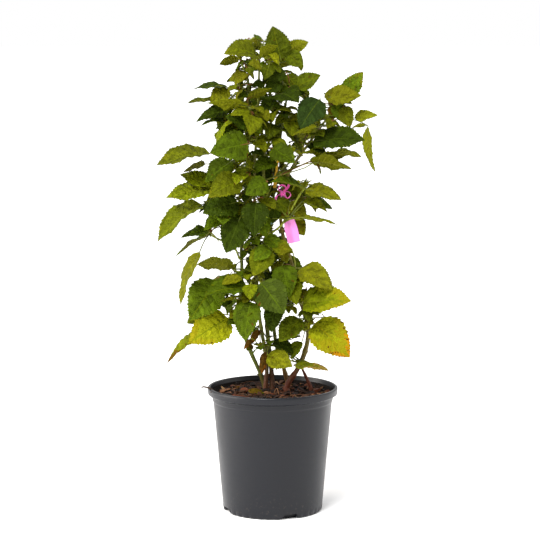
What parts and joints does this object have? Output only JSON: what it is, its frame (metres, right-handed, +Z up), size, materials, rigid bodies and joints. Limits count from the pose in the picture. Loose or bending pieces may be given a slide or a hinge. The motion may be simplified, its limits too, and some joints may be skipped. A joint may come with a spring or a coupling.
{
  "type": "potted bramble bush",
  "caption": "Bramble bush in a round nursery pot: canes tied in an upright bundle, with toothed leaves along them, above a bed of bark chips.",
  "frame": {"origin": "the middle of the pot's flat underside, where the plant stands", "axes": "+Z is up along the pot's axis, and -Y is the plant's front"},
  "size_m": [0.38, 0.2556, 0.848],
  "materials": {
    "pot_plastic": "satin charcoal moulded plastic",
    "bark_soil": "damp composted bark with pale chips",
    "cane_skin": "smooth brown and green living bark",
    "foliage": "satin green leaves",
    "tie_tape": "soft teal ribbon tape",
    "pink_tape": "thin pink flagging tape",
    "yellow_tape": "thin yellow ribbon tape"
  },
  "bodies": {
    "root": {"bough_left": "cane_skin", "bough_left_low": "cane_skin", "bough_right": "cane_skin", "cane_back": "cane_skin", "cane_front": "cane_skin", "cane_left": "cane_skin", "cane_middle": "cane_skin", "cane_right": "cane_skin", "leaves_foot_olive": "foliage", "leaves_foot_right": "foliage", "leaves_foot_withered": "foliage", "leaves_foot_yellow": "foliage", "leaves_front_dark": "foliage", "leaves_front_low_dark": "foliage", "leaves_front_low_green": "foliage", "leaves_front_middle": "foliage", "leaves_front_right_low": "foliage", "leaves_front_round": "foliage", "leaves_front_upper_right": "foliage", "leaves_left_fan": "foliage", "leaves_left_front_dark": "foliage", "leaves_left_front_yellow": "foliage", "leaves_left_level": "foliage", "leaves_left_long": "foliage", "leaves_left_low_broad": "foliage", "leaves_left_low_shelf": "foliage", "leaves_left_low_yellow": "foliage", "leaves_left_pale": "foliage", "leaves_rear_high": "foliage", "leaves_rear_left": "foliage", "leaves_rear_low": "foliage", "leaves_rear_middle": "foliage", "leaves_rear_right": "foliage", "leaves_rear_upper_left": "foliage", "leaves_rear_upper_right": "foliage", "leaves_right_broad": "foliage", "leaves_right_hanging": "foliage", "leaves_right_level": "foliage", "leaves_right_lime": "foliage", "leaves_right_low_arch": "foliage", "leaves_right_low_gold": "foliage", "leaves_right_low_green": "foliage", "leaves_right_teal": "foliage", "leaves_right_tier": "foliage", "leaves_right_tip": "foliage", "leaves_top_arching": "foliage", "leaves_top_left": "foliage", "leaves_top_right": "foliage", "leaves_top_upright": "foliage", "leaves_upper_left_dark": "foliage", "leaves_upper_left_high": "foliage", "leaves_upper_left_lime": "foliage", "leaves_upper_left_shield": "foliage", "leaves_upper_left_wing": "foliage", "old_stub": "cane_skin", "pot": "pot_plastic", "soil": "bark_soil", "tape_pink": "pink_tape", "tape_yellow": "yellow_tape", "tie_green": "tie_tape"}
  },
  "joints": []
}
